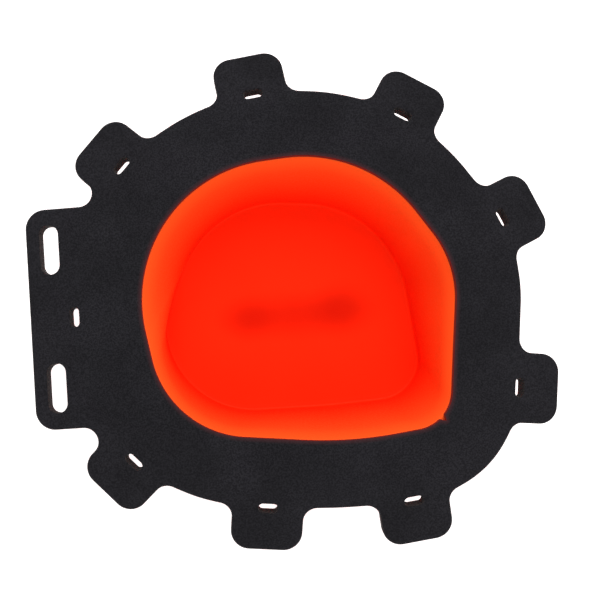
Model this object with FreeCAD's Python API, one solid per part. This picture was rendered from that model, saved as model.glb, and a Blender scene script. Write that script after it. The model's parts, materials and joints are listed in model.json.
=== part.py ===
"""A flat foam collar with lacing tabs round a deep moulded cup.

Millimetres, +Z up.  The part stands on the underside of its cup: the origin is on that
face, below the middle of the collar's opening.  The wide strap tab points along -X and
its strap slots lie in a line along Y.

The collar is one sheet of foam on the real object.  Here each tab is cut free along the
line where it folds, just outside its lacing slot, so that it can turn on a joint.
"""

import FreeCAD
import Part
import math
import os

from FreeCAD import Vector

# ---------------------------------------------------------------- driving dimensions
# The opening is the outline that runs over six circles: (centre x, centre y, radius),
# counter-clockwise from the side by the strap tab.  The largest bows the straight side.
OPENING_CIRCLES = [
    (-9.0, 0.0, 79.0),
    (-29.0, -19.5, 56.0),
    (24.0, 150.0, 230.7),
    (59.6, -56.0, 22.0),
    (29.0, -1.0, 59.0),
    (3.0, 0.0, 80.0),
]
# The cup's floor is a smaller outline of the same kind.
FLOOR_CIRCLES = [
    (-7.7, 1.0, 65.0),
    (-25.0, -8.0, 55.5),
    (14.0, 140.0, 204.0),
    (50.5, -36.5, 26.0),
    (18.0, -0.3, 54.3),
    (6.5, 0.3, 64.4),
]

COLLAR_WIDTH = 37.3       # from the opening to the collar's edge, the same all round
FOAM = 8.0                # thickness of the foam sheet
CUP_WALL = 2.0            # wall, floor and flange of the cup
CUP_DEPTH = 80.0          # from the collar's top face down to the cup's floor
FLANGE_WIDTH = 15.0       # the cup's rim flange, let into the collar's underside
REBATE_DEPTH = 4.0        # how deep the foam is cut away from below for the flange
REBATE_CLEARANCE = 0.5    # round the flange's outer edge
BOND = 0.5                # adhesive between the flange and the foam
BOND_MARGIN = 3.5         # the adhesive stops this far inside the flange's edges
FLARE_WIDTH = 3.5         # the cup's mouth widens by this much on each side
FLARE_DEPTH = 4.0         # over this height, up to the flange's top
WALL_INSET = 0.6          # the wall's outside meets the flange this far inside its edge

# Lacing tabs: (bearing of the lacing slot from the opening's middle, direction the tab
# points), in degrees from +X
TABS = [
    (139.6, 137.0),
    (99.0, 98.0),
    (56.8, 58.8),
    (17.8, 23.8),
    (-26.1, -7.0),
    (-64.5, -84.0),
    (-102.6, -97.0),
    (-139.2, -137.5),
]
TAB_WIDTH = 39.8
TAB_REACH = 24.0          # from the lacing slot's middle to the tab's tip
TAB_TIP_RADIUS = 10.5
TAB_ROOT_RADIUS = 7.5
TAB_DROOP = 12.0          # a lacing tab hangs this far below the collar's plane at rest

LACE_SLOT_OFFSET = 38.0   # from the opening to the middle of a lacing slot
LACE_SLOT_WIDTH = 5.6
LACE_SLOT_LENGTH = 11.5

STRAP_TAB_X = -150.0      # outer edge
STRAP_TAB_Y = -2.5        # middle
STRAP_TAB_WIDTH = 122.5
STRAP_TAB_RADIUS = 11.0
STRAP_SLOT_X = -137.0
STRAP_SLOT_SPACING = 76.8
STRAP_SLOT_WIDTH = 11.0
STRAP_SLOT_LENGTH = 28.0
STRAP_LACE_X = -125.0     # the strap tab's own lacing slot, on the collar's edge
STRAP_FOLD_X = -129.6     # the strap tab folds between its lacing slot and strap slots

FOLD_OFFSET = 4.6         # a lacing tab's fold line, outward from its slot's middle
LACING_FOLD_RANGE = 45.0  # a lacing tab folds this far each way from the collar's plane
STRAP_FOLD_RANGE = 30.0   # and the strap tab this far
FOLD_GAP = 0.25           # from the fold's axis to the foam on either side
FOLD_SPARE = 3.0          # the bevels open this much further than the fold turns
FOLD_OVERRUN = 2.3        # the cut runs this far past each end of a lacing tab's root

# ---------------------------------------------------------------- heights
FLOOR_Z = CUP_WALL
COLLAR_TOP = FLOOR_Z + CUP_DEPTH
COLLAR_BOTTOM = COLLAR_TOP - FOAM
FLANGE_TOP = COLLAR_BOTTOM + REBATE_DEPTH - BOND
FLANGE_BOTTOM = FLANGE_TOP - CUP_WALL
FOLD_Z = COLLAR_TOP - FOAM / 2

UP = Vector(0, 0, 1)


# ---------------------------------------------------------------- outlines
def outline(circles, grow, z):
    """Closed wire round the circles, each grown by `grow`: arcs joined by tangent lines."""
    normals = []
    for i, (x1, y1, r1) in enumerate(circles):
        x2, y2, r2 = circles[(i + 1) % len(circles)]
        span = math.hypot(x2 - x1, y2 - y1)
        heading = math.atan2(y2 - y1, x2 - x1)
        normals.append(heading - math.acos((r1 - r2) / span))
    edges = []
    for i, (x, y, r) in enumerate(circles):
        centre = Vector(x, y, z)
        start = normals[i - 1]
        end = normals[i]
        while end < start:
            end += 2 * math.pi
        middle = (start + end) / 2
        first, mid, last = [
            centre + Vector(math.cos(a), math.sin(a), 0) * (r + grow)
            for a in (start, middle, end)
        ]
        x2, y2, r2 = circles[(i + 1) % len(circles)]
        following = Vector(x2, y2, z) + Vector(math.cos(end), math.sin(end), 0) * (r2 + grow)
        edges.append(Part.Arc(first, mid, last).toShape())
        edges.append(Part.LineSegment(last, following).toShape())
    return Part.Wire(edges)


def plate(wire, height):
    """A flat solid of the given height standing on the wire."""
    return Part.Face(wire).extrude(UP * height)


def slot(centre, along, width, length, z, height):
    """A round-ended slot cutter, its length along the unit vector `along`."""
    side = Vector(-along.y, along.x, 0)
    half = (length - width) / 2
    base = Vector(centre.x, centre.y, z)
    a = base + along * half - side * (width / 2)
    b = base + along * half + side * (width / 2)
    c = base - along * half + side * (width / 2)
    d = base - along * half - side * (width / 2)
    wire = Part.Wire(
        [
            Part.LineSegment(d, a).toShape(),
            Part.Arc(a, base + along * (length / 2), b).toShape(),
            Part.LineSegment(b, c).toShape(),
            Part.Arc(c, base - along * (length / 2), d).toShape(),
        ]
    )
    return plate(wire, height)


def fillet_upright(shape, radius, wanted):
    """Round the upright edges of `shape` whose middle point satisfies `wanted`."""
    edges = []
    for edge in shape.Edges:
        ends = [v.Point for v in edge.Vertexes]
        if len(ends) != 2:
            continue
        run = ends[1] - ends[0]
        if abs(run.z) < FOAM / 2 or math.hypot(run.x, run.y) > 1e-6:
            continue
        if wanted((ends[0] + ends[1]) * 0.5):
            edges.append(edge)
    return shape.makeFillet(radius, edges)


# ---------------------------------------------------------------- where the tabs stand
def lacing_tab_places():
    """(middle of the lacing slot, outward unit vector) of every lacing tab."""
    line = outline(OPENING_CIRCLES, LACE_SLOT_OFFSET, FOLD_Z)
    places = []
    for bearing, facing in TABS:
        angle = math.radians(bearing)
        far = Vector(300 * math.cos(angle), 300 * math.sin(angle), FOLD_Z)
        ray = Part.LineSegment(Vector(0, 0, FOLD_Z), far).toShape()
        point = line.distToShape(ray)[1][0][0]
        angle = math.radians(facing)
        places.append((point, Vector(math.cos(angle), math.sin(angle), 0)))
    return places


def tab_block(centre, outward):
    """A lacing tab's plan, from inside the collar out to its tip, with a rounded tip."""
    along = Vector(-outward.y, outward.x, 0)
    base = Vector(centre.x, centre.y, COLLAR_BOTTOM)
    half = TAB_WIDTH / 2
    corners = [
        base - outward * 20 - along * half,
        base + outward * TAB_REACH - along * half,
        base + outward * TAB_REACH + along * half,
        base - outward * 20 + along * half,
    ]
    block = plate(Part.makePolygon(corners + corners[:1]), FOAM)
    tip = base + outward * TAB_REACH
    return fillet_upright(block, TAB_TIP_RADIUS, lambda p: (p - tip).dot(outward) > -1)


def strap_block():
    """The strap tab's plan, from inside the collar out to its straight outer edge."""
    low = STRAP_TAB_Y - STRAP_TAB_WIDTH / 2
    block = Part.makeBox(
        -STRAP_TAB_X - 95,
        STRAP_TAB_WIDTH,
        FOAM,
        Vector(STRAP_TAB_X, low, COLLAR_BOTTOM),
    )
    return fillet_upright(block, STRAP_TAB_RADIUS, lambda p: p.x < STRAP_TAB_X + 1)


def fold_cutter(point, outward, half_length, inner_bevel, outer_bevel):
    """The gap at a fold: a slit on the axis that opens above and below by the bevels."""
    along = Vector(-outward.y, outward.x, 0)
    rise = FOAM / 2 + 1
    origin = point - along * half_length
    inner = FOLD_GAP + rise * math.tan(math.radians(inner_bevel))
    outer = FOLD_GAP + rise * math.tan(math.radians(outer_bevel))
    section = [
        origin - outward * inner - UP * rise,
        origin + outward * outer - UP * rise,
        origin + outward * FOLD_GAP,
        origin + outward * outer + UP * rise,
        origin - outward * inner + UP * rise,
        origin - outward * FOLD_GAP,
    ]
    return Part.Face(Part.makePolygon(section + section[:1])).extrude(along * (2 * half_length))


def fold_point(centre, outward):
    """The middle of a lacing tab's fold line."""
    return centre + outward * FOLD_OFFSET


# ---------------------------------------------------------------- the foam
def foam_pieces():
    """The collar ring, the lacing tabs in order and the strap tab, as separate solids."""
    places = lacing_tab_places()
    rough = plate(outline(OPENING_CIRCLES, COLLAR_WIDTH, COLLAR_BOTTOM), FOAM)
    rough = rough.fuse([tab_block(*place) for place in places] + [strap_block()])
    rough = rough.removeSplitter()
    underside = min(rough.Faces, key=lambda f: f.CenterOfMass.z)
    # growing and shrinking the outline rounds its inward corners, where the tabs begin
    grown = underside.OuterWire.makeOffset2D(TAB_ROOT_RADIUS)
    sheet = plate(grown.makeOffset2D(-TAB_ROOT_RADIUS), FOAM)
    sheet = sheet.cut(plate(outline(OPENING_CIRCLES, 0, COLLAR_BOTTOM - 1), FOAM + 2))
    rebate = outline(OPENING_CIRCLES, FLANGE_WIDTH + REBATE_CLEARANCE, COLLAR_BOTTOM - 1)
    sheet = sheet.cut(plate(rebate, REBATE_DEPTH + 1))

    def upright_slot(x, y, along, width, length):
        return slot(Vector(x, y, 0), along, width, length, COLLAR_BOTTOM - 1, FOAM + 2)

    cutters = []
    for centre, outward in places:
        along = Vector(-outward.y, outward.x, 0)
        cutters.append(
            upright_slot(centre.x, centre.y, along, LACE_SLOT_WIDTH, LACE_SLOT_LENGTH)
        )
        cutters.append(
            fold_cutter(
                fold_point(centre, outward),
                outward,
                TAB_WIDTH / 2 + TAB_ROOT_RADIUS + FOLD_OVERRUN,
                0,
                LACING_FOLD_RANGE + FOLD_SPARE,
            )
        )
    along_y = Vector(0, 1, 0)
    cutters.append(
        upright_slot(STRAP_LACE_X, STRAP_TAB_Y, along_y, LACE_SLOT_WIDTH, LACE_SLOT_LENGTH)
    )
    for side in (-1, 1):
        y = STRAP_TAB_Y + side * STRAP_SLOT_SPACING / 2
        cutters.append(
            upright_slot(STRAP_SLOT_X, y, along_y, STRAP_SLOT_WIDTH, STRAP_SLOT_LENGTH)
        )
    strap_bevel = (STRAP_FOLD_RANGE + FOLD_SPARE) / 2
    strap_fold = Vector(STRAP_FOLD_X, STRAP_TAB_Y, FOLD_Z)
    cutters.append(
        fold_cutter(strap_fold, Vector(-1, 0, 0), STRAP_TAB_WIDTH, strap_bevel, strap_bevel)
    )
    pieces = sheet.cut(cutters).Solids

    ring = max(pieces, key=lambda p: p.Volume)
    others = [p for p in pieces if not p.isSame(ring)]
    strap = min(others, key=lambda p: p.CenterOfMass.x)
    tabs = []
    for centre, outward in places:
        along = Vector(-outward.y, outward.x, 0)
        middle = centre + outward * (TAB_REACH / 2)
        tab = min(others, key=lambda p: (p.CenterOfMass - middle).Length)
        tabs.append(tab.rotated(fold_point(centre, outward), along, TAB_DROOP))
    return ring, tabs, strap


# ---------------------------------------------------------------- the cup and its bond
def ruled(low, high):
    """The solid with straight sides between two outlines."""
    return Part.makeLoft([low, high], True, True)


def cup():
    """The moulded cup: floor, sloping wall, flared mouth and a flange round the rim."""
    flare_z = FLANGE_TOP - FLARE_DEPTH
    flare = outline(OPENING_CIRCLES, -FLARE_WIDTH, flare_z)
    inside = ruled(outline(FLOOR_CIRCLES, 0, FLOOR_Z), flare)
    mouth = ruled(flare, outline(OPENING_CIRCLES, 0, FLANGE_TOP))
    outside = ruled(
        outline(FLOOR_CIRCLES, CUP_WALL, 0),
        outline(OPENING_CIRCLES, -WALL_INSET, FLANGE_BOTTOM),
    )
    flange = plate(outline(OPENING_CIRCLES, FLANGE_WIDTH, FLANGE_BOTTOM), CUP_WALL)
    return outside.fuse(flange).cut([inside, mouth])


def bond_ring():
    """The adhesive between the flange and the underside of the foam."""
    outer = plate(outline(OPENING_CIRCLES, FLANGE_WIDTH - BOND_MARGIN, FLANGE_TOP), BOND)
    return outer.cut(plate(outline(OPENING_CIRCLES, BOND_MARGIN, FLANGE_TOP - 1), BOND + 2))


def save(name, shape):
    box = shape.BoundBox
    print(
        f"{name:14s} solids {len(shape.Solids)} valid {shape.isValid()} "
        f"volume {shape.Volume / 1000:.2f} cm3  x {box.XMin:.1f} {box.XMax:.1f} "
        f"y {box.YMin:.1f} {box.YMax:.1f} z {box.ZMin:.1f} {box.ZMax:.1f}"
    )
    shape.exportStep(f"parts/{name}.step")


def main():
    os.makedirs("parts", exist_ok=True)
    ring, tabs, strap = foam_pieces()
    save("collar_ring", ring)
    for number, tab in enumerate(tabs, start=1):
        save(f"lacing_tab_{number}", tab)
    save("strap_tab", strap)
    save("cup", cup())
    save("bond_ring", bond_ring())
    for number, (centre, outward) in enumerate(lacing_tab_places(), start=1):
        fold = fold_point(centre, outward)
        print(
            f"lacing slot {number}: {centre.x:.3f} {centre.y:.3f}  "
            f"fold {fold.x:.4f} {fold.y:.4f} {fold.z:.1f}  "
            f"outward {outward.x:.6f} {outward.y:.6f}"
        )


main()
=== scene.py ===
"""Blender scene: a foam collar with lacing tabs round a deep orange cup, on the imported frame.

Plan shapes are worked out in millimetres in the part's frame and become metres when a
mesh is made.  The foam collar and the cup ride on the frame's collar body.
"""
import json
import math

import bmesh
import bpy
import numpy as np
from mathutils import Matrix, Vector, geometry, noise


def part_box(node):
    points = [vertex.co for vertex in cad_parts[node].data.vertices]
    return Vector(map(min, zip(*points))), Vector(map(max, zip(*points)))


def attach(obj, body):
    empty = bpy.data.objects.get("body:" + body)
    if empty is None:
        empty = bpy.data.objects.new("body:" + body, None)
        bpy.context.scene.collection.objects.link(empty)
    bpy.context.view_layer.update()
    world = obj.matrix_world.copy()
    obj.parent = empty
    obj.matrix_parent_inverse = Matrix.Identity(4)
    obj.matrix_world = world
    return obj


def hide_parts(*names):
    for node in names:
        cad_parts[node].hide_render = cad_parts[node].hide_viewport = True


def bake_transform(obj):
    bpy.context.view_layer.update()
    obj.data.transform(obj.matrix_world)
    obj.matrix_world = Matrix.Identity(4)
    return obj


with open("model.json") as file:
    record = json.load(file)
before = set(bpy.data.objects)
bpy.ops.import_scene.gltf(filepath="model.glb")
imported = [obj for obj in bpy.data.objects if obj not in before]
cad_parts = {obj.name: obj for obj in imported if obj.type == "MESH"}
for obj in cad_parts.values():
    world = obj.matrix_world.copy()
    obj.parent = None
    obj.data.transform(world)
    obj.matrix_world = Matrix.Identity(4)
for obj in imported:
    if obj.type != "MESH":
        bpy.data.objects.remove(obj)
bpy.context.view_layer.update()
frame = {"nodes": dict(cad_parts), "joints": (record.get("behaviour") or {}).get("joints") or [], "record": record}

MM = 0.001

# ---------------------------------------------------------------- driving dimensions, mm
# Outlines run counter-clockwise over circles (centre x, centre y, radius), joined by
# tangent lines.  They are the collar's opening and the cup's floor.
OPENING_CIRCLES = [
    (-9.0, 0.0, 79.0),
    (-29.0, -19.5, 56.0),
    (24.0, 150.0, 230.7),
    (59.6, -56.0, 22.0),
    (29.0, -1.0, 59.0),
    (3.0, 0.0, 80.0),
]
FLOOR_CIRCLES = [
    (-7.7, 1.0, 65.0),
    (-25.0, -8.0, 55.5),
    (14.0, 140.0, 204.0),
    (50.5, -36.5, 26.0),
    (18.0, -0.3, 54.3),
    (6.5, 0.3, 64.4),
]
COLLAR_WIDTH = 37.3
TAB_WIDTH = 39.8
TAB_REACH = 24.0
TAB_TIP_RADIUS = 10.5
TAB_ROOT_RADIUS = 7.5
STRAP_TAB_WIDTH = 122.5
STRAP_TAB_RADIUS = 11.0
STRAP_TAB_REACH = 25.0
LACE_SLOT_COUNT = 9
FLANGE_WIDTH = 15.0
REBATE_CLEARANCE = 0.5
CUP_WALL = 2.0
FLARE_WIDTH = 3.5
FLARE_DEPTH = 4.0
WALL_INSET = 0.6

# Heights, slots and tabs come from the frame.
MOUNTS = {mount["name"]: mount for mount in frame["record"]["mounts"]}
COLLAR_LOW, COLLAR_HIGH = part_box("collar_ring")
TOP = COLLAR_HIGH.z / MM
BOTTOM = COLLAR_LOW.z / MM
FLANGE_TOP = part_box("cup")[1].z / MM
REBATE_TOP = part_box("bond_ring")[1].z / MM
MIDDLE = (TOP + BOTTOM) / 2

# ---------------------------------------------------------------- the foam's finish, mm
# How rounded a cut edge is, above and below: outside, round the opening, in the slots
EDGE_ROUNDING = (1.7, 1.0)
OPENING_ROUNDING = (0.7, 0.3)
SLOT_ROUNDING = (0.6, 0.3)
EDGE_STEPS = 4
EDGE_SPACING = 1.4        # between points along the outer edge
OPENING_SPACING = 0.8
SLOT_SPACING = 0.9
GRID = 3.0                # between points inside the flat faces
SEAM_OFFSET = 2.4         # a tab's seam ends this far outward of its slot's middle
TAB_DROOP = 12.0          # degrees
STRAP_DROOP = 7.0
DROOP_FROM = -14.0        # the droop comes in over this stretch, inward of the slot
DROOP_TO = -2.0
DROOP_REACH = 40.0        # the bend is worked out to here, beyond every tab's tip
DROOP_ASIDE = 12.0        # beside a tab, the droop fades out over this distance
UNEVEN = 0.55             # how far the free foam rises and falls
UNEVEN_SPAN = 55.0        # over waves about this long
UNEVEN_FADE = 22.0        # coming in over this distance, outward of the flange
NICK_BEARING = -44.0      # a small overcut at the corner of the opening
NICK_DEPTH = 2.8
NICK_HALF_WIDTH = 1.7
SLOT_SQUEEZE = (0.2, 0.55)  # a cut slot closes up by this much each side, above and below

# ---------------------------------------------------------------- the cup's rounding, mm
CUP_SPACING = 1.6
CREASE = 2.0              # how far the rounding at the floor's edge reaches
MOUTH_BEND = 15.0         # the wall starts to flare this far below the flange's top
MOUTH_CORNER = 5.5        # and the flare turns about a corner this far below it
FLOOR_UNEVEN = 0.35       # how far the floor rises and falls
FLOOR_UNEVEN_SPAN = 38.0  # over waves about this long

# ---------------------------------------------------------------- light and camera
# Each light: (name, bearing, elevation, distance m, size m, watts), angles in degrees
LIGHTS = [
    ("key", 83, 56, 1.6, 0.9, 16),
    ("fill", 284, 52, 1.8, 1.0, 10),
]
LIGHTS_AIM = (0, 0, 0.05)  # m, inside the cup
SURROUND_STRENGTH = 0.72
FLOOR_GLOW = 0.55         # keeps the floor white under the object
FLOOR_REACH = 25.0        # m
CAMERA_DISTANCE = 0.650   # m
CAMERA_LENS = 69.84       # mm, on a sensor 36 mm wide
CAMERA_LEAN = (-3.25, -3.72)  # the collar's slope in the view, across and upwards, degrees
CAMERA_ROLL = -3.8        # degrees
CAMERA_AIM = (0.00024, -0.00144)  # m, on the collar's top face
CAMERA_SHIFT = (-0.0004, 0.0001)  # m, in the view's own plane

# ---------------------------------------------------------------- colours, linear
FOAM_DARK = (0.0062, 0.0058, 0.0072)
FOAM_LIGHT = (0.0138, 0.0131, 0.0157)
# painted light: the foam's cut faces are painted lighter, for light bounced up from the white floor
FOAM_CUT_PAINTED_LIGHT = (0.040, 0.032, 0.030)
# painted red bounce light from the cup, on the foam's top by the opening
FOAM_PAINTED_BOUNCE = (0.05, 0.015, 0.018)
# painted red bounce light from the cup, on the foam's shaded wall at the opening
FOAM_WALL_PAINTED_BOUNCE = (0.15, 0.007, 0.003)
GLOW_REACH = 3.2          # how far from the opening the painted red bounce light from the cup reaches over the foam, mm
GLOW_STRENGTH = 0.7
# painted light and shade: the floor colour is darker, the rim colour brighter and more orange, for painted light
# at the rim and painted shade down in the cup
CUP_DEEP = (0.93, 0.021, 0.0026)
CUP_RIM_PAINTED_LIGHT = (0.98, 0.1, 0.0145)
CUP_CLOUD = (0.91, 0.018, 0.002)
# painted dark reflection on the cup's floor
CUP_PAINTED_REFLECTION = (0.5, 0.003, 0.0003)
BOND_DARK = (0.42, 0.36, 0.26)
BOND_LIGHT = (0.62, 0.56, 0.44)
# A painted dark reflection on the cup's floor, in soft spots: (centre x, centre y, reach x, reach y, strength), mm
PAINTED_REFLECTION_SPOTS = [
    (-28.0, -6.0, 24.0, 18.0, 0.6),
    (2.0, -5.5, 58.0, 19.0, 0.62),
    (30.0, -3.5, 26.0, 22.0, 0.62),
]


def smooth(t):
    """0 below 0, 1 above 1 and a soft step between."""
    t = np.clip(t, 0.0, 1.0)
    return t * t * (3 - 2 * t)


# ---------------------------------------------------------------- plan outlines
def turning_angles(circles):
    """Direction of the outward normal on the line that follows each circle."""
    angles = []
    for i, (x1, y1, r1) in enumerate(circles):
        x2, y2, r2 = circles[(i + 1) % len(circles)]
        heading = math.atan2(y2 - y1, x2 - x1)
        angles.append(heading - math.acos((r1 - r2) / math.hypot(x2 - x1, y2 - y1)))
    return angles


def outline(circles, spacing, sizes=None):
    """Points and outward normals round the outline.

    A point moved along its normal lies on the grown outline.  With `sizes`, another
    outline's circles, each arc and line has as many points as it has there.
    """
    angles = turning_angles(circles)
    size_angles = turning_angles(sizes or circles)
    points = []
    normals = []
    for i, (x, y, r) in enumerate(circles):
        start = angles[i - 1]
        end = start + (angles[i] - start) % (2 * math.pi)
        size_x, size_y, size_r = (sizes or circles)[i]
        size_turn = (size_angles[i] - size_angles[i - 1]) % (2 * math.pi)
        arc_count = max(2, round(size_r * size_turn / spacing))
        for a in np.linspace(start, end, arc_count, endpoint=False):
            normals.append((math.cos(a), math.sin(a)))
            points.append((x + r * math.cos(a), y + r * math.sin(a)))
        next_x, next_y, next_r = (sizes or circles)[(i + 1) % len(circles)]
        span = math.hypot(next_x - size_x, next_y - size_y)
        run = math.sqrt(max(0.0, span ** 2 - (next_r - size_r) ** 2))
        line_count = max(1, round(run / spacing))
        x2, y2, r2 = circles[(i + 1) % len(circles)]
        normal = np.array((math.cos(end), math.sin(end)))
        first = np.array((x, y)) + r * normal
        last = np.array((x2, y2)) + r2 * normal
        for t in np.linspace(0, 1, line_count, endpoint=False):
            normals.append(tuple(normal))
            points.append(tuple(first + (last - first) * t))
    return np.array(points), np.array(normals)


def arc(centre, radius, start, end, spacing=0.25):
    """Points on an arc between two directions, the shorter way round."""
    first = math.atan2(start[1], start[0])
    turn = (math.atan2(end[1], end[0]) - first + math.pi) % (2 * math.pi) - math.pi
    count = max(2, round(abs(turn) * radius / spacing))
    angles = np.linspace(first, first + turn, count + 1)
    return centre + radius * np.column_stack((np.cos(angles), np.sin(angles)))


def evenly(points, spacing):
    """The closed line through the points, with points at an even spacing."""
    closed = np.vstack((points, points[:1]))
    run = np.concatenate(((0,), np.cumsum(np.linalg.norm(np.diff(closed, axis=0), axis=1))))
    at = np.linspace(0, run[-1], round(run[-1] / spacing), endpoint=False)
    return np.column_stack((np.interp(at, run, closed[:, 0]), np.interp(at, run, closed[:, 1])))


def side_normals(points):
    """Unit normals to the right of a closed line of points."""
    ahead = np.roll(points, -1, axis=0) - np.roll(points, 1, axis=0)
    ahead /= np.linalg.norm(ahead, axis=1)[:, None]
    return np.column_stack((ahead[:, 1], -ahead[:, 0]))


class Tab:
    """A tab's place in plan: its lacing slot's middle, its direction and its size."""

    def __init__(self, body, middle, outward, width, reach, tip_radius, droop):
        self.body = body
        self.middle = np.array(middle)
        self.outward = np.array(outward)
        self.along = np.array((-outward[1], outward[0]))
        self.half = width / 2
        self.reach = reach
        self.tip_radius = tip_radius
        self.droop = droop

    def place(self, points):
        """How far each point is outward of the slot's middle, and how far along it."""
        offset = points[:, :2] - self.middle
        return offset @ self.outward, offset @ self.along

    def tip(self):
        """The tip's two rounded corners, counter-clockwise."""
        inner = self.middle + self.outward * (self.reach - self.tip_radius)
        reach = self.along * (self.half - self.tip_radius)
        first = arc(inner - reach, self.tip_radius, -self.along, self.outward)
        second = arc(inner + reach, self.tip_radius, self.outward, self.along)
        return np.vstack((first, second))


def tabs_in_order():
    """All nine tabs counter-clockwise from the strap tab, as the frame places them."""
    joints = {j["child"]: j for j in frame["joints"]}
    tabs = []
    for number in range(LACE_SLOT_COUNT, 0, -1):
        middle = [v / MM for v in MOUNTS[f"lacing_slot_{number}"]["pos_m"][:2]]
        if number == LACE_SLOT_COUNT:
            size = (STRAP_TAB_WIDTH, STRAP_TAB_REACH, STRAP_TAB_RADIUS, STRAP_DROOP)
            tabs.append(Tab("strap_tab", middle, (-1.0, 0.0), *size))
            continue
        axis = joints[f"lacing_tab_{number}"]["axis"]
        size = (TAB_WIDTH, TAB_REACH, TAB_TIP_RADIUS, TAB_DROOP)
        tabs.append(Tab(f"lacing_tab_{number}", middle, (-axis[1], axis[0]), *size))
    return tabs


def root_fillets(tab, following, collar, normals):
    """The edge from a tab's far side to the next tab's near side, with rounded roots."""
    rolled = collar + normals * (COLLAR_WIDTH + TAB_ROOT_RADIUS)

    def touching(middle, normal, outward):
        """Where the rounding circle touches both the collar and a tab's side."""
        beyond = (rolled - middle) @ normal - TAB_ROOT_RADIUS
        after = np.roll(beyond, -1)
        crossing = np.nonzero(beyond * after <= 0)[0]
        depth = (rolled[crossing] - middle) @ outward
        index = crossing[np.argmax(depth)]
        return index + beyond[index] / (beyond[index] - after[index])

    def at(line, place):
        index = int(place)
        return line[index] + (line[(index + 1) % len(line)] - line[index]) * (place - index)

    left = tab.middle + tab.along * tab.half
    right = following.middle - following.along * following.half
    start = touching(left, tab.along, tab.outward)
    end = touching(right, -following.along, following.outward)
    count = len(collar)
    if (end - start) % count > count / 2:
        # the two sides are so close that one circle touches both
        sides = np.array((tab.along, -following.along))
        reach = (left @ tab.along + TAB_ROOT_RADIUS, -right @ following.along + TAB_ROOT_RADIUS)
        centre = np.linalg.solve(sides, reach)
        return arc(centre, TAB_ROOT_RADIUS, -tab.along, following.along)
    first = arc(at(rolled, start), TAB_ROOT_RADIUS, -tab.along, -at(normals, start))
    last = arc(at(rolled, end), TAB_ROOT_RADIUS, -at(normals, end), following.along)
    steps = np.arange(math.ceil(start), math.ceil(start + (end - start) % count)) % count
    between = (collar + normals * COLLAR_WIDTH)[steps]
    return np.vstack((first, between, last))


def outer_edge(tabs):
    """The foam sheet's outer edge in plan, counter-clockwise."""
    collar, normals = outline(OPENING_CIRCLES, 0.5)
    stretches = []
    for tab, following in zip(tabs, tabs[1:] + tabs[:1]):
        stretches.append(tab.tip())
        stretches.append(root_fillets(tab, following, collar, normals))
    return evenly(np.vstack(stretches), EDGE_SPACING)


def slot_edge(middle, along, width, length):
    """A round-ended slot's edge in plan, counter-clockwise."""
    side = np.array((along[1], -along[0]))
    half = along * (length - width) / 2
    first = arc(middle + half, width / 2, side, along)
    second = arc(middle + half, width / 2, along, -side)
    third = arc(middle - half, width / 2, -side, -along)
    fourth = arc(middle - half, width / 2, -along, side)
    return evenly(np.vstack((first, second[1:], third, fourth[1:])), SLOT_SPACING)


def opening_edge():
    """The collar's opening, with the small overcut at its tight corner."""
    points, normals = outline(OPENING_CIRCLES, OPENING_SPACING)
    bearing = np.degrees(np.arctan2(points[:, 1], points[:, 0])) - NICK_BEARING
    tip = points[np.argmin(np.abs(bearing))]
    away = np.linalg.norm(points - tip, axis=1)
    depth = NICK_DEPTH * np.clip(1 - away / NICK_HALF_WIDTH, 0, 1)
    return points + normals * depth[:, None]


# ---------------------------------------------------------------- the foam's rest shape
def settle(points, tabs, opening):
    """The sheet as it lies: tabs droop in a soft bend and the outer edge is a little uneven."""
    moved = points.copy()
    for tab in tabs:
        out, along = tab.place(points)
        aside = 1 - smooth((np.abs(along) - tab.half) / DROOP_ASIDE)
        near = (out > DROOP_FROM) & (aside > 0)
        station = np.linspace(DROOP_FROM, DROOP_REACH, 400)
        slope = np.radians(tab.droop) * smooth((station - DROOP_FROM) / (DROOP_TO - DROOP_FROM))
        step = station[1] - station[0]
        ahead = DROOP_FROM + np.concatenate(((0,), np.cumsum(np.cos(slope[:-1]) * step)))
        down = np.concatenate(((0,), np.cumsum(np.sin(slope[:-1]) * step)))
        angle = np.interp(out[near], station, slope)
        height = points[near, 2] - MIDDLE
        new_out = np.interp(out[near], station, ahead) + height * np.sin(angle)
        new_z = MIDDLE - np.interp(out[near], station, down) + height * np.cos(angle)
        shift = (new_out - out[near])[:, None] * tab.outward * aside[near][:, None]
        moved[near, :2] += shift
        moved[near, 2] += (new_z - points[near, 2]) * aside[near]
    free = smooth((distance_to(points[:, :2], opening) - FLANGE_WIDTH) / UNEVEN_FADE)
    for i in np.nonzero(free > 0)[0]:
        spot = Vector((points[i, 0], points[i, 1], 0)) / UNEVEN_SPAN
        moved[i, 2] += UNEVEN * free[i] * noise.noise(spot)
    return moved


def distance_to(points, line):
    """Distance of each point from the nearest point of a line of points."""
    best = np.full(len(points), np.inf)
    for chunk in np.array_split(line, max(1, len(line) // 64)):
        gap = points[:, None, :] - chunk[None, :, :]
        best = np.minimum(best, np.sqrt((gap ** 2).sum(axis=2)).min(axis=1))
    return best


def inside(points, line):
    """Whether each point lies inside a closed line of points."""
    result = np.zeros(len(points), bool)
    x, y = points[:, 0], points[:, 1]
    for (x1, y1), (x2, y2) in zip(line, np.roll(line, -1, axis=0)):
        if y1 == y2:
            continue
        across = ((y1 > y) != (y2 > y)) & (x < (x2 - x1) * (y - y1) / (y2 - y1) + x1)
        result ^= across
    return result


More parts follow.
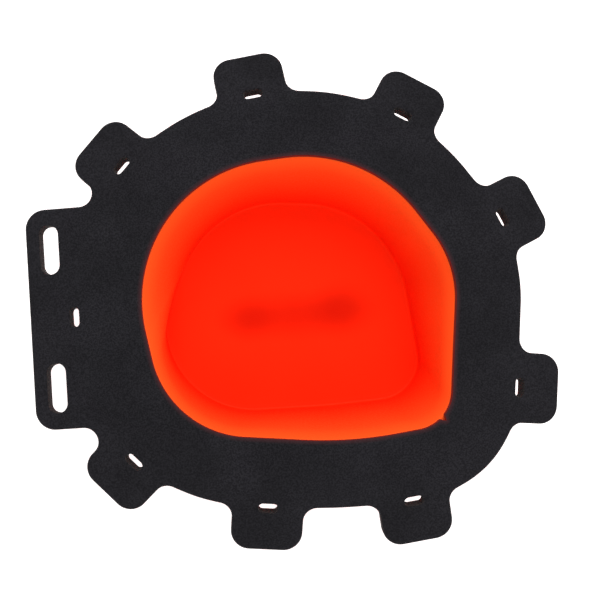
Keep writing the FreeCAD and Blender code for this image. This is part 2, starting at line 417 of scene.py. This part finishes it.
# ---------------------------------------------------------------- the foam mesh
def edge_profile(upper_radius, lower_radius, bottom, squeeze=(0.0, 0.0)):
    """(distance into the foam, height) down a cut edge, from the top face to `bottom`."""
    turn = np.linspace(0, math.pi / 2, EDGE_STEPS + 1)
    into = 1 - np.sin(turn)
    drop = 1 - np.cos(turn)
    upper = np.column_stack((upper_radius * into, TOP - upper_radius * drop))
    lower = np.column_stack((lower_radius * into, bottom + lower_radius * drop))[::-1]
    profile = np.vstack((upper, lower))
    profile[:, 0] -= np.interp(profile[:, 1], (bottom, TOP), squeeze[::-1])
    return profile


class FoamSheet:
    """The whole foam sheet as one mesh, which is then parted at the tabs' seams."""

    def __init__(self):
        self.tabs = tabs_in_order()
        self.edge = outer_edge(self.tabs)
        self.opening = opening_edge()
        self.loops = []
        self.add_loop(self.edge, -side_normals(self.edge), EDGE_ROUNDING, BOTTOM)
        self.add_loop(self.opening, side_normals(self.opening), OPENING_ROUNDING, REBATE_TOP)
        lace = MOUNTS["lacing_slot_1"]["dims"]
        self.lace_length = lace["slot_length_mm"]
        width = 2 * lace["hole_r_mm"]
        for tab in self.tabs:
            self.add_slot(slot_edge(tab.middle, tab.along, width, self.lace_length))
        self.add_strap_slots()
        opening, normals = outline(OPENING_CIRCLES, EDGE_SPACING)
        self.rebate = opening + normals * (FLANGE_WIDTH + REBATE_CLEARANCE)
        self.place_loops()
        self.triangulate()
        self.settled = settle(self.vertices, self.tabs, self.opening)

    def add_loop(self, points, into, rounding, bottom, squeeze=(0.0, 0.0)):
        """A cut edge: its line in plan, the way into the foam and its profile."""
        self.loops.append((points, into, edge_profile(*rounding, bottom, squeeze)))

    def add_slot(self, points):
        self.add_loop(points, side_normals(points), SLOT_ROUNDING, BOTTOM, SLOT_SQUEEZE)

    def add_strap_slots(self):
        size = MOUNTS["strap_slots"]["dims"]
        middle = np.array(MOUNTS["strap_slots"]["pos_m"][:2]) / MM
        along = np.array((0.0, 1.0))
        width = 2 * size["hole_r_mm"]
        for side in (-1, 1):
            centre = middle + along * side * size["spacing_y_mm"] / 2
            self.add_slot(slot_edge(centre, along, width, size["slot_length_mm"]))

    def place_loops(self):
        """One column of vertices down the cut edge at every point of every loop."""
        self.columns = []
        stacks = []
        start = 0
        for points, into, profile in self.loops:
            depth = len(profile)
            moved = points[:, None, :] + into[:, None, :] * profile[None, :, :1]
            heights = np.broadcast_to(profile[:, 1], (len(points), depth))
            stacks.append(np.dstack((moved, heights)).reshape(-1, 3))
            index = start + np.arange(len(points) * depth).reshape(len(points), depth)
            self.columns.append(index)
            start += len(points) * depth
        self.vertices = np.vstack(stacks)

    def seams(self):
        """Each tab's two seams: its slot's loop, a point on it and one on the outer edge."""
        found = []
        for number, tab in enumerate(self.tabs):
            slot = 2 + number  # the first two loops are the outer edge and the opening
            slot_points = self.loops[slot][0]
            out, along = tab.place(self.edge)
            for side in (-1, 1):
                aside = side * along - tab.half
                near = (aside > -2) & (aside < TAB_ROOT_RADIUS) & (np.abs(out) < 8)
                miss = np.where(near, np.abs(out - SEAM_OFFSET), np.inf)
                end = int(np.argmin(miss))
                target = tab.middle + tab.along * side * self.lace_length / 2
                start = int(np.argmin(np.linalg.norm(slot_points - target, axis=1)))
                found.append((slot, start, end))
        return found

    def triangulate(self):
        """Triangles of the flat faces, with the seams among their edges."""
        flat = []
        owner = []
        edges = []
        for loop, columns in enumerate(self.columns):
            base = len(flat)
            count = len(columns)
            flat.extend(self.vertices[columns[:, 0], :2])
            owner.extend((loop, i) for i in range(count))
            edges.extend((base + i, base + (i + 1) % count) for i in range(count))
        starts = np.cumsum([0] + [len(c) for c in self.columns])
        step = [len(flat) + i for i in range(len(self.rebate))]
        self.step = step
        flat.extend(self.rebate)
        owner.extend([None] * len(step))
        edges.extend(zip(step, step[1:] + step[:1]))
        self.seam_lines = []
        for loop, start, end in self.seams():
            a, b = starts[loop] + start, end
            first, last = np.array(flat[a]), np.array(flat[b])
            count = max(1, round(np.linalg.norm(last - first) / EDGE_SPACING))
            line = [a]
            for t in np.linspace(0, 1, count + 1)[1:-1]:
                line.append(len(flat))
                flat.append(first + (last - first) * t)
                owner.append(None)
            line.append(b)
            edges.extend(zip(line, line[1:]))
            self.seam_lines.append(line)
        taken = np.array(flat)
        low, high = taken.min(axis=0), taken.max(axis=0)
        grid = []
        row_spacing = GRID * 0.87  # for nearly even triangles
        for row, y in enumerate(np.arange(low[1], high[1], row_spacing)):
            for x in np.arange(low[0] + (row % 2) * GRID / 2, high[0], GRID):
                grid.append((x, y))
        grid = np.array(grid)
        keep = inside(grid, self.edge) & (distance_to(grid, taken) > GRID * 0.55)
        for points, _, _ in self.loops[1:]:
            keep &= ~inside(grid, points)
        grid = grid[keep]
        flat.extend(grid)
        owner.extend([None] * len(grid))
        made = geometry.delaunay_2d_cdt(
            [Vector(p) for p in flat], [tuple(map(int, e)) for e in edges], [], 0, 1e-6
        )
        points = np.array([tuple(v) for v in made[0]])
        source = [ids[0] for ids in made[3]]
        triangles = np.array([face for face in made[2] if len(face) == 3])
        middles = points[triangles].mean(axis=1)
        borders = [self.vertices[columns[:, 0], :2] for columns in self.columns]
        keep = inside(middles, borders[0])
        for border in borders[1:]:
            keep &= ~inside(middles, border)
        self.triangles = np.array(source)[triangles[keep]]
        self.over_flange = inside(middles[keep], self.rebate)
        self.number_faces(flat, owner)

    def number_faces(self, flat, owner):
        """Vertex numbers of every flat point: top face, bottom face and flange rebate."""
        rebated = inside(np.array(flat), self.rebate)
        self.top_of = []
        self.bottom_of = []
        self.rebate_of = []
        extra = []
        base = len(self.vertices)
        for number, (point, place) in enumerate(zip(flat, owner)):
            if place:
                column = self.columns[place[0]][place[1]]
                self.top_of.append(column[0])
                self.bottom_of.append(column[-1])
                self.rebate_of.append(column[-1])
                continue
            self.top_of.append(base + len(extra))
            extra.append((point[0], point[1], TOP))
            self.bottom_of.append(base + len(extra))
            self.rebate_of.append(base + len(extra))
            extra.append((point[0], point[1], REBATE_TOP if rebated[number] else BOTTOM))
        for number in self.step:
            x, y = flat[number]
            extra[self.bottom_of[number] - base] = (x, y, BOTTOM)
            self.rebate_of[number] = base + len(extra)
            extra.append((x, y, REBATE_TOP))
        self.vertices = np.vstack((self.vertices, np.array(extra)))
        self.owner = owner

    def parts(self):
        """Groups of triangles between the seams, the collar's own group first."""
        seam_edges = set()
        for line in self.seam_lines:
            seam_edges.update(tuple(sorted(pair)) for pair in zip(line, line[1:]))
        sides = {}
        for number, triangle in enumerate(self.triangles):
            for k in range(3):
                edge = tuple(sorted((int(triangle[k]), int(triangle[(k + 1) % 3]))))
                sides.setdefault(edge, []).append(number)
        group = np.full(len(self.triangles), -1)
        links = [[] for _ in self.triangles]
        for edge, faces in sides.items():
            if len(faces) == 2 and edge not in seam_edges:
                links[faces[0]].append(faces[1])
                links[faces[1]].append(faces[0])
        count = 0
        for seed in range(len(group)):
            if group[seed] >= 0:
                continue
            waiting = [seed]
            group[seed] = count
            while waiting:
                for other in links[waiting.pop()]:
                    if group[other] < 0:
                        group[other] = count
                        waiting.append(other)
            count += 1
        sizes = np.bincount(group)
        order = np.argsort(-sizes)
        self.sides = sides
        return [np.nonzero(group == g)[0] for g in order]

    def build(self, name, group):
        """A closed mesh object of one group of triangles, with its cut edges and seams."""
        chosen = set(int(f) for f in group)
        smooth_faces = []
        for i in group:
            triangle = self.triangles[i]
            under = self.rebate_of if self.over_flange[i] else self.bottom_of
            smooth_faces.append([self.top_of[v] for v in triangle])
            smooth_faces.append([under[v] for v in triangle[::-1]])
        for loop, columns in enumerate(self.columns):
            start = sum(len(c) for c in self.columns[:loop])
            for i in range(len(columns)):
                j = (i + 1) % len(columns)
                edge = tuple(sorted((start + i, start + j)))
                if not chosen.intersection(self.sides.get(edge, ())):
                    continue
                for k in range(columns.shape[1] - 1):
                    smooth_faces.append(
                        [columns[i][k], columns[i][k + 1], columns[j][k + 1], columns[j][k]]
                    )
        sharp_faces = []
        for a, b in zip(self.step, self.step[1:] + self.step[:1]):
            if chosen.intersection(self.sides[tuple(sorted((a, b)))]):
                lower = [self.bottom_of[a], self.bottom_of[b]]
                sharp_faces.append(lower + [self.rebate_of[b], self.rebate_of[a]])
        for line in self.seam_lines:
            edge = tuple(sorted((line[0], line[1])))
            if not chosen.intersection(self.sides.get(edge, ())):
                continue
            for a, b in zip(line, line[1:]):
                sharp_faces.append(
                    [self.top_of[a], self.top_of[b], self.bottom_of[b], self.bottom_of[a]]
                )
            for end in (line[0], line[-1]):
                loop, point = self.owner[end]
                sharp_faces.append(list(self.columns[loop][point]))
        piece = make_object(name, self.settled * MM, smooth_faces, sharp_faces)
        used = sorted({int(v) for face in smooth_faces + sharp_faces for v in face})
        store(piece, "cut", self.on_cut()[used])
        return piece

    def on_cut(self):
        """1 for each vertex on the straight part of a cut edge, and 0 elsewhere."""
        cut = np.zeros(len(self.vertices))
        for columns in self.columns:
            cut[columns[:, EDGE_STEPS - 1:-1]] = 1.0
        return cut


def make_object(name, vertices, faces, sharp_faces=()):
    """A smooth closed mesh object; the edges round `sharp_faces` stay sharp."""
    every = list(faces) + list(sharp_faces)
    used = sorted({int(v) for face in every for v in face})
    number = {v: i for i, v in enumerate(used)}
    mesh = bpy.data.meshes.new(name)
    mesh.from_pydata(
        [tuple(vertices[v]) for v in used], [], [[number[int(v)] for v in f] for f in every]
    )
    work = bmesh.new()
    work.from_mesh(mesh)
    work.faces.ensure_lookup_table()
    for face in work.faces:
        face.smooth = True
    for face in work.faces[len(faces):]:
        face.smooth = False
        for edge in face.edges:
            edge.smooth = False
    bmesh.ops.recalc_face_normals(work, faces=work.faces)
    work.to_mesh(mesh)
    work.free()
    obj = bpy.data.objects.new(name, mesh)
    bpy.context.scene.collection.objects.link(obj)
    return obj


def store(obj, name, values):
    """Keep one number per vertex on the mesh, for a material to read."""
    attribute = obj.data.attributes.new(name, "FLOAT", "POINT")
    attribute.data.foreach_set("value", np.asarray(values, np.float32))


def make_foam(material):
    """The foam collar and its nine tabs, each tab a closed piece of its own."""
    sheet = FoamSheet()
    groups = sheet.parts()
    ring = sheet.build("foam_collar", groups[0])
    pieces = [ring]
    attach(ring, "collar")
    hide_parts("collar_ring")
    for group in groups[1:]:
        middle = np.mean(
            [sheet.vertices[sheet.top_of[v], :2] for v in sheet.triangles[group].ravel()], axis=0
        )
        tab = min(sheet.tabs, key=lambda t: np.linalg.norm(t.middle + t.outward * 12 - middle))
        piece = sheet.build(f"foam_{tab.body}", group)
        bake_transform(piece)
        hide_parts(tab.body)
        pieces.append(piece)
    for piece in pieces:
        where = np.array([v.co for v in piece.data.vertices]) / MM
        store(piece, "from_opening", distance_to(where[:, :2], sheet.opening))
        piece.data.materials.append(material)


# ---------------------------------------------------------------- the cup
def bend(start, corner, end, t):
    """A point, or a height, on the soft bend from start to end that turns about a corner."""
    return start * (1 - t) ** 2 + corner * 2 * t * (1 - t) + end * t ** 2


def cup_rings(centre):
    """Rings of points over the whole cup: under the floor, up, round the flange and in."""
    rim, rim_out = outline(OPENING_CIRCLES, CUP_SPACING)
    floor, floor_out = outline(FLOOR_CIRCLES, CUP_SPACING, OPENING_CIRCLES)
    flare_low = FLANGE_TOP - FLARE_DEPTH
    flange_low = FLANGE_TOP - CUP_WALL
    depth = flare_low - CUP_WALL
    throat = rim - rim_out * FLARE_WIDTH
    outer_low = floor + floor_out * CUP_WALL
    outer_high = rim - rim_out * WALL_INSET
    wall_length = np.hypot(np.linalg.norm(throat - floor, axis=1), depth)
    inward = centre - floor
    inward /= np.linalg.norm(inward, axis=1)[:, None]
    rings = []

    def ring(points, height):
        heights = np.broadcast_to(height, (len(rim),))
        rings.append(np.column_stack((points, heights)))

    def inner_wall(share):
        """In plan, a share of the way up the inside, from the floor to the flare."""
        return floor + (throat - floor) * share

    def inner_height(share):
        return CUP_WALL + share * depth

    def outer_wall(share):
        """In plan, a share of the way up the outside, from the base to the flange."""
        return outer_low + (outer_high - outer_low) * share

    # the underside of the floor and the rounding at its edge
    for share in (0.1, 0.3, 0.5, 0.7, 0.88):
        ring(centre + (floor - centre) * share, 0.0)
    rounding = CREASE + CUP_WALL
    share = rounding / wall_length
    start, end = outer_low + inward * rounding, outer_wall(share[:, None])
    for t in np.linspace(0, 1, 7):
        ring(bend(start, outer_low, end, t), bend(0.0, 0.0, share * flange_low, t))
    # the outside of the wall, up to the flange
    for share in (0.3, 0.5, 0.7, 0.85, 0.99):
        ring(outer_wall(share), share * flange_low)
    ring(outer_high + rim_out * 0.8, flange_low)
    # the flange's rounded edge
    radius = CUP_WALL / 2
    for turn in np.radians(np.linspace(-90, 90, 7)):
        grow = FLANGE_WIDTH - radius + radius * math.cos(turn)
        ring(rim + rim_out * grow, FLANGE_TOP - radius + radius * math.sin(turn))
    ring(rim + rim_out * 2, FLANGE_TOP)
    # the flared mouth, a soft bend from the flange into the wall, and the inside of the wall
    low, corner = ((FLANGE_TOP - down - CUP_WALL) / depth for down in (MOUTH_BEND, MOUTH_CORNER))
    for t in np.linspace(0, 1, 13):
        plan = bend(rim, inner_wall(corner), inner_wall(low), t)
        ring(plan, bend(FLANGE_TOP, inner_height(corner), inner_height(low), t))
    for share in (0.72, 0.58, 0.44, 0.32, 0.22, 0.13, 0.07):
        ring(inner_wall(share), inner_height(share))
    # the tight crease at the floor's edge, and the floor
    share = CREASE / wall_length
    start, end = inner_wall(share[:, None]), floor + inward * CREASE
    for t in np.linspace(0, 1, 8):
        ring(bend(start, floor, end, t), bend(inner_height(share), CUP_WALL, CUP_WALL, t))
    for share in (0.85, 0.7, 0.55, 0.4, 0.25, 0.1):
        ring(centre + (end - centre) * share, CUP_WALL)
    return rings


def closed_shell(rings, centre):
    """Vertices and faces over the rings, with a fan about the centre at each end."""
    count = len(rings[0])
    vertices = np.vstack(rings)
    wave = np.array([noise.noise(Vector(p) / FLOOR_UNEVEN_SPAN) for p in vertices])
    on_floor = (vertices[:, 2] > CUP_WALL / 2) & (vertices[:, 2] < CUP_WALL * 1.5)
    vertices[:, 2] += FLOOR_UNEVEN * wave * on_floor
    last = (len(rings) - 1) * count
    middle_height = float(vertices[last:, 2].mean())
    bottom = len(vertices)
    vertices = np.vstack((vertices, (*centre, 0.0), (*centre, middle_height)))
    faces = []
    for i in range(count):
        j = (i + 1) % count
        for low in range(0, last, count):
            high = low + count
            faces.append([low + i, low + j, high + j, high + i])
        faces.append([bottom, j, i])
        faces.append([bottom + 1, last + i, last + j])
    return vertices, faces


def make_cup(material):
    """The moulded cup: floor, crease, sloping wall, flared mouth and flange, one closed shell."""
    centre = outline(FLOOR_CIRCLES, CUP_SPACING, OPENING_CIRCLES)[0].mean(axis=0)
    vertices, faces = closed_shell(cup_rings(centre), centre)
    cup = make_object("cup_shell", vertices * MM, faces)
    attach(cup, "collar")
    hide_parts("cup")
    cup.data.materials.append(material)


def dress_bond(material):
    """The adhesive is shown by its own CAD solid."""
    bond = frame["nodes"]["bond_ring"]
    bond.data.materials.clear()
    bond.data.materials.append(material)


# ---------------------------------------------------------------- materials
class Shader:
    """A new material with short ways to add and link its nodes."""

    def __init__(self, name):
        self.material = bpy.data.materials.new(name)
        self.material.use_nodes = True
        self.tree = self.material.node_tree
        self.surface = self.tree.nodes["Principled BSDF"]
        self.place = self.add("ShaderNodeTexCoord").outputs["Object"]

    def add(self, kind, **values):
        node = self.tree.nodes.new(kind)
        for key, value in values.items():
            setattr(node, key, value)
        return node

    def link(self, output, target):
        self.tree.links.new(output, target)

    def noise(self, scale, detail=2.0, roughness=0.5):
        """A noise whose features are about 1/scale metres across."""
        node = self.add("ShaderNodeTexNoise")
        self.link(self.place, node.inputs["Vector"])
        node.inputs["Scale"].default_value = scale
        node.inputs["Detail"].default_value = detail
        node.inputs["Roughness"].default_value = roughness
        return node.outputs["Fac"]

    def spread(self, value, low, high, to_low, to_high, kind="SMOOTHSTEP"):
        """The value's range low..high carried to to_low..to_high."""
        node = self.add("ShaderNodeMapRange", interpolation_type=kind)
        self.link(value, node.inputs["Value"])
        node.inputs["From Min"].default_value = low
        node.inputs["From Max"].default_value = high
        node.inputs["To Min"].default_value = to_low
        node.inputs["To Max"].default_value = to_high
        return node.outputs["Result"]

    def product(self, a, b):
        node = self.add("ShaderNodeMath", operation="MULTIPLY")
        self.link(a, node.inputs[0])
        self.link(b, node.inputs[1])
        return node.outputs[0]

    def mix(self, factor, a, b, blend="MIX"):
        """Colours a and b mixed by a factor."""
        node = self.add("ShaderNodeMix", data_type="RGBA", blend_type=blend)
        if isinstance(factor, (int, float)):
            node.inputs[0].default_value = factor
        else:
            self.link(factor, node.inputs[0])
        for value, target in ((a, node.inputs[6]), (b, node.inputs[7])):
            if isinstance(value, tuple):
                target.default_value = (*value, 1.0)
            else:
                self.link(value, target)
        return node.outputs[2]

    def spot(self, centre, reach, strength):
        """A soft round spot in plan, `strength` at its middle and 0 at its reach, mm."""
        offset = self.add("ShaderNodeVectorMath", operation="SUBTRACT")
        self.link(self.place, offset.inputs[0])
        offset.inputs[1].default_value = (centre[0] * MM, centre[1] * MM, 0.0)
        scaled = self.add("ShaderNodeVectorMath", operation="MULTIPLY")
        self.link(offset.outputs[0], scaled.inputs[0])
        scaled.inputs[1].default_value = (1 / (reach[0] * MM), 1 / (reach[1] * MM), 0.0)
        length = self.add("ShaderNodeVectorMath", operation="LENGTH")
        self.link(scaled.outputs[0], length.inputs[0])
        return self.spread(length.outputs["Value"], 0.1, 1.0, strength, 0.0)

    def axis(self, name):
        """One of the place's X, Y and Z."""
        node = self.add("ShaderNodeSeparateXYZ")
        self.link(self.place, node.inputs[0])
        return node.outputs[name]

    def bump(self, height, strength, distance, under=None):
        """A bumped normal, on top of another one if there is one."""
        node = self.add("ShaderNodeBump")
        node.inputs["Strength"].default_value = strength
        node.inputs["Distance"].default_value = distance
        self.link(height, node.inputs["Height"])
        if under:
            self.link(under, node.inputs["Normal"])
        return node.outputs["Normal"]

    def set(self, name, value):
        self.surface.inputs[name].default_value = value


def foam_material():
    """Matt charcoal closed-cell foam: fine grain and faint mottling, with painted light on the cut faces and
    painted red bounce light from the cup round the opening.
    """
    shader = Shader("foam")
    grain = shader.noise(1100, 2.0, 0.6)
    cells = shader.noise(420, 3.0, 0.6)
    mottle = shader.noise(28, 3.0, 0.55)
    speckle = shader.spread(grain, 0.36, 0.66, 0.0, 1.0)
    colour = shader.mix(speckle, FOAM_DARK, FOAM_LIGHT)
    patches = shader.spread(mottle, 0.35, 0.65, 0.86, 1.16)
    tone = shader.add("ShaderNodeCombineXYZ")
    for name in "XYZ":
        shader.link(patches, tone.inputs[name])
    colour = shader.mix(1.0, colour, tone.outputs[0], "MULTIPLY")
    distance = shader.add("ShaderNodeAttribute", attribute_name="from_opening").outputs["Fac"]
    cut = shader.add("ShaderNodeAttribute", attribute_name="cut").outputs["Fac"]
    # painted light on the cut faces: lighter where the foam is cut, for light bounced from the white floor
    cut_painted_light = shader.mix(speckle, FOAM_DARK, FOAM_CUT_PAINTED_LIGHT)
    colour = shader.mix(cut, colour, cut_painted_light)
    # painted red bounce light from the cup, fading out with distance from the opening
    glow = shader.spread(distance, 0.0, GLOW_REACH, GLOW_STRENGTH, 0.0)
    colour = shader.mix(glow, colour, FOAM_PAINTED_BOUNCE)
    # the foam's wall at the opening: painted red bounce light in shade
    wall = shader.spread(distance, 0.1, 0.5, 1.0, 0.0)
    colour = shader.mix(wall, colour, FOAM_WALL_PAINTED_BOUNCE)
    shader.link(colour, shader.surface.inputs["Base Color"])
    shader.link(shader.spread(cells, 0.3, 0.7, 0.82, 0.98), shader.surface.inputs["Roughness"])
    shader.set("Specular IOR Level", 0.1)
    shader.set("Sheen Weight", 0.03)
    shader.set("Sheen Roughness", 0.5)
    normal = shader.bump(cells, 0.25, 0.0003)
    normal = shader.bump(grain, 0.35, 0.00015, normal)
    shader.link(normal, shader.surface.inputs["Normal"])
    return shader.material


def cup_material():
    """Moulded satin plastic, red-orange, with painted light and shade: brighter and more orange towards the rim,
    darker red on the floor, and a painted dark reflection on the floor.
    """
    shader = Shader("cup_plastic")
    height = shader.axis("Z")
    # painted light and shade: lighter and more orange with height, up to the rim
    rise = shader.spread(height, 0.004, FLANGE_TOP * MM, 0.0, 1.0, "LINEAR")
    clouds = shader.spread(shader.noise(16, 3.0, 0.5), 0.3, 0.7, 0.0, 0.5)
    colour = shader.mix(clouds, CUP_DEEP, CUP_CLOUD)
    colour = shader.mix(rise, colour, CUP_RIM_PAINTED_LIGHT)
    # painted dark reflection on the floor, in soft spots
    on_floor = shader.spread(height, 0.0008, 0.0014, 0.0, 1.0)
    for x, y, reach_x, reach_y, strength in PAINTED_REFLECTION_SPOTS:
        spot = shader.spot((x, y), (reach_x, reach_y), strength)
        colour = shader.mix(shader.product(spot, on_floor), colour, CUP_PAINTED_REFLECTION)
    shader.link(colour, shader.surface.inputs["Base Color"])
    grain = shader.noise(900, 2.0, 0.5)
    shader.link(shader.spread(grain, 0.3, 0.7, 0.36, 0.5), shader.surface.inputs["Roughness"])
    shader.set("Specular IOR Level", 0.14)
    shader.set("Specular Tint", (1.0, 0.3, 0.12, 1.0))
    normal = shader.bump(shader.noise(220, 3.0, 0.5), 0.08, 0.0004)
    normal = shader.bump(grain, 0.08, 0.0001, normal)
    shader.link(normal, shader.surface.inputs["Normal"])
    return shader.material


def bond_material():
    """Dried contact adhesive, pale and slightly uneven."""
    shader = Shader("adhesive")
    blotches = shader.noise(160, 4.0, 0.6)
    colour = shader.mix(blotches, BOND_DARK, BOND_LIGHT)
    shader.link(colour, shader.surface.inputs["Base Color"])
    shader.link(shader.spread(blotches, 0.3, 0.7, 0.25, 0.5), shader.surface.inputs["Roughness"])
    shader.link(shader.bump(blotches, 0.3, 0.0003), shader.surface.inputs["Normal"])
    return shader.material


def floor_material():
    """A plain white sweep that stays white under the object."""
    shader = Shader("pale_floor")
    shader.set("Base Color", (0.9, 0.9, 0.9, 1.0))
    shader.set("Roughness", 0.9)
    shader.set("Emission Color", (1.0, 1.0, 1.0, 1.0))
    shader.set("Emission Strength", FLOOR_GLOW)
    return shader.material


# ---------------------------------------------------------------- stage, light, camera
def make_floor():
    """A wide plain floor under the cup."""
    mesh = bpy.data.meshes.new("floor")
    corners = [(-1, -1), (1, -1), (1, 1), (-1, 1)]
    places = [(x * FLOOR_REACH, y * FLOOR_REACH, -0.5 * MM) for x, y in corners]
    mesh.from_pydata(places, [], [(0, 1, 2, 3)])
    floor = bpy.data.objects.new("floor", mesh)
    bpy.context.scene.collection.objects.link(floor)
    floor.data.materials.append(floor_material())


def area_light(name, bearing, elevation, distance, size, watts):
    """A square soft light that faces the cup from a bearing and elevation in degrees."""
    light = bpy.data.lights.new(name, "AREA")
    light.shape = "SQUARE"
    light.size = size
    light.energy = watts
    lamp = bpy.data.objects.new(name, light)
    bpy.context.scene.collection.objects.link(lamp)
    turn, lift = math.radians(bearing), math.radians(elevation)
    away = Vector(
        (math.cos(turn) * math.cos(lift), math.sin(turn) * math.cos(lift), math.sin(lift))
    )
    aim = Vector(LIGHTS_AIM)
    lamp.location = aim + away * distance
    lamp.rotation_euler = (-away).to_track_quat("-Z", "Y").to_euler()


def make_light():
    """A bright even surround with a soft key beyond the object and a weaker fill."""
    world = bpy.data.worlds.new("surround")
    world.use_nodes = True
    background = world.node_tree.nodes["Background"]
    background.inputs["Color"].default_value = (1.0, 1.0, 1.0, 1.0)
    background.inputs["Strength"].default_value = SURROUND_STRENGTH
    bpy.context.scene.world = world
    for light in LIGHTS:
        area_light(*light)


def make_camera():
    """Looks almost straight down; the collar leans a few degrees away from the view."""
    slope_x, slope_y = (math.tan(math.radians(angle)) for angle in CAMERA_LEAN)
    across = Vector((1, 0, slope_x)).normalized()
    upright = Vector((-slope_x, -slope_y, 1)).normalized()
    along = upright.cross(across)
    roll = Matrix.Rotation(math.radians(CAMERA_ROLL), 3, "Z")
    turn = roll @ Matrix((across, along, upright))
    aim = Vector((*CAMERA_AIM, TOP * MM)) + turn @ Vector((*CAMERA_SHIFT, 0))
    data = bpy.data.cameras.new("camera")
    data.sensor_width = 36.0
    data.lens = CAMERA_LENS
    data.clip_start = 0.01
    data.clip_end = 50.0
    camera = bpy.data.objects.new("camera", data)
    bpy.context.scene.collection.objects.link(camera)
    place = aim + turn @ Vector((0, 0, CAMERA_DISTANCE))
    camera.matrix_world = Matrix.Translation(place) @ turn.to_4x4()
    bpy.context.scene.camera = camera


make_camera()
make_light()
make_floor()
bpy.context.scene.view_settings.view_transform = "Standard"
make_foam(foam_material())
make_cup(cup_material())
dress_bond(bond_material())
